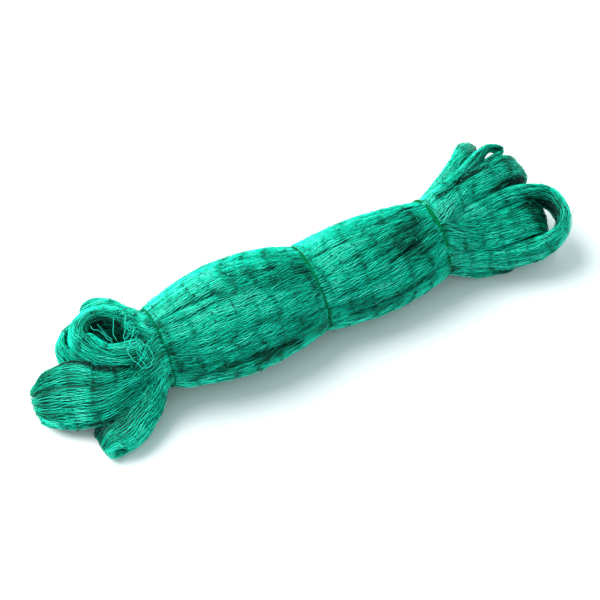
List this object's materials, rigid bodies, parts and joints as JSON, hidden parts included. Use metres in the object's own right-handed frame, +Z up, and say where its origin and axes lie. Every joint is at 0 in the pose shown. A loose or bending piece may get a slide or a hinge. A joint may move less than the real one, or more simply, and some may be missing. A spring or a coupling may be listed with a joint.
{
  "type": "netting hank",
  "caption": "Hank of green knotted netting, folded lengthwise and cinched by elastic bands, with loose bights at both ends.",
  "frame": {"origin": "centre of the footprint's bounding box, on the surface that the hank lies on", "axes": "+X along the hank towards the end with the open bight, +Y across it, +Z up"},
  "size_m": [0.4404, 0.131, 0.0734],
  "materials": {
    "net": "glossy nylon twine, blue green",
    "band": "satin elastic, dark green"
  },
  "bodies": {
    "left_half": {"left_pass_low_near": "net", "left_pass_low_middle": "net", "left_pass_low_far": "net", "left_pass_top_near": "net", "left_pass_top_middle": "net", "left_pass_top_far": "net", "left_neck": "net", "left_band": "band"},
    "middle_waist": {"middle_neck": "net", "middle_band": "band"},
    "right_half": {"right_pass_low_near": "net", "right_pass_low_middle": "net", "right_pass_low_far": "net", "right_pass_top_near": "net", "right_pass_top_middle": "net", "right_pass_top_far": "net", "right_neck": "net", "right_band": "band"},
    "left_bights": {"left_root": "net", "left_fan_bight": "net", "left_tail_bight": "net", "left_curl_bight": "net", "left_outer_bight": "net", "left_back_bight": "net"},
    "right_bights": {"right_root": "net", "right_open_bight": "net", "right_round_bight": "net", "right_inner_bight": "net", "right_back_bight": "net", "right_thin_bight": "net", "right_low_bight": "net"}
  },
  "joints": [
    {"name": "middle_side_bend", "type": "hinge", "parent": "left_half", "child": "middle_waist", "pos_m": [0.00515, -0.00933, 0.0335], "axis": [0, 0, 1], "range_deg": [-15, 15]},
    {"name": "middle_lift", "type": "hinge", "parent": "middle_waist", "child": "right_half", "pos_m": [0.00515, -0.00933, 0.0335], "axis": [0, -1, 0], "range_deg": [0, 20]},
    {"name": "left_end_lift", "type": "hinge", "parent": "left_half", "child": "left_bights", "pos_m": [-0.11985, -0.00933, 0.0355], "axis": [0, 1, 0], "range_deg": [0, 20]},
    {"name": "right_end_lift", "type": "hinge", "parent": "right_half", "child": "right_bights", "pos_m": [0.11065, -0.00933, 0.035], "axis": [0, -1, 0], "range_deg": [0, 20]}
  ]
}
